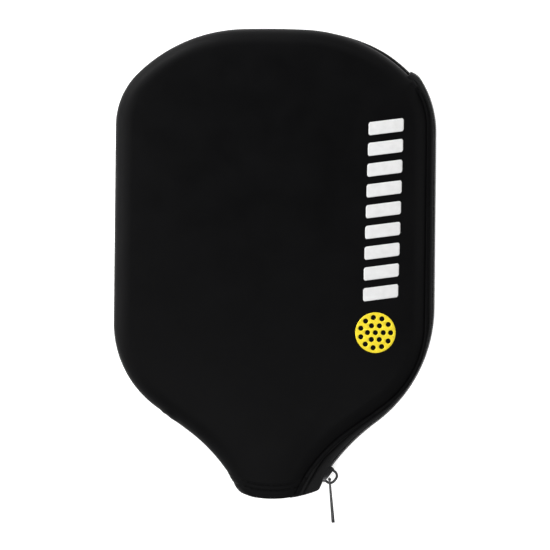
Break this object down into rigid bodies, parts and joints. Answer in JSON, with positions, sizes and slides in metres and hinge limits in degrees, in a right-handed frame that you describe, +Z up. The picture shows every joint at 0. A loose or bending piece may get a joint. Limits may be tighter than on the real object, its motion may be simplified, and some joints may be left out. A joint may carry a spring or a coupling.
{
  "type": "paddle case",
  "caption": "Soft padded case for a racket-sport paddle, lying on its back, with a side zip that opens a front flap and an open neck for the handle",
  "frame": {"origin": "on the flat resting face, on the centreline of the case, level with the middle of its round body", "axes": "+Y runs from the neck to the crown, +Z up out of the front face, +X towards the zip"},
  "size_m": [0.2123, 0.3265, 0.0283],
  "materials": {
    "neoprene": "matte knit-faced neoprene",
    "lining": "brushed knit",
    "binding": "woven tape",
    "zip_tape": "woven tape",
    "zip_coil": "satin nylon",
    "zip_metal": "dark enamelled metal",
    "thread": "twisted polyester",
    "print_white": "matte printed film",
    "print_yellow": "matte printed film"
  },
  "bodies": {
    "case": {"back_panel": "neoprene", "front_panel": "neoprene", "back_lining": "lining", "front_lining": "lining", "seam_binding": "binding", "zip_tape_back": "zip_tape", "zip_tape_back_neck": "zip_tape", "zip_coil_back": "zip_coil", "zip_coil_back_neck": "zip_coil", "zip_top_stop": "zip_metal", "zip_end_stop_back": "zip_metal", "zip_stitches_back": "thread", "hem_stitches_front": "thread", "hem_stitches_back": "thread", "print_bars_panel": "print_white"},
    "flap": {"front_flap": "neoprene", "flap_lining": "lining", "zip_tape_front": "zip_tape", "zip_tape_front_neck": "zip_tape", "zip_coil_front": "zip_coil", "zip_coil_front_neck": "zip_coil", "zip_end_stop_front": "zip_metal", "zip_stitches_front": "thread", "hem_stitches_flap": "thread", "print_bars_flap": "print_white", "print_ball": "print_yellow"},
    "slider": {"slider_body": "zip_metal", "slider_crown": "zip_metal"},
    "tab": {"pull_tab": "zip_metal"}
  },
  "joints": [
    {"name": "slider_travel", "type": "hinge", "parent": "case", "child": "slider", "pos_m": [0.15455, -0.23824, 0.011], "axis": [0, 0, -1], "range_deg": [0, 15.5], "deforming": ["zip_tape_back_neck", "zip_coil_back_neck"]},
    {"name": "tab_swing", "type": "hinge", "parent": "slider", "child": "tab", "pos_m": [0.0399, -0.164, 0.011], "axis": [0, 0, 1], "range_deg": [-42, 80]},
    {"name": "flap_opening", "type": "hinge", "parent": "case", "child": "flap", "pos_m": [0.092, 0.1045, 0.0283], "axis": [-0.3502, -0.9367, 0], "range_deg": [0, 70], "deforming": ["zip_tape_front_neck", "zip_coil_front_neck"]}
  ]
}
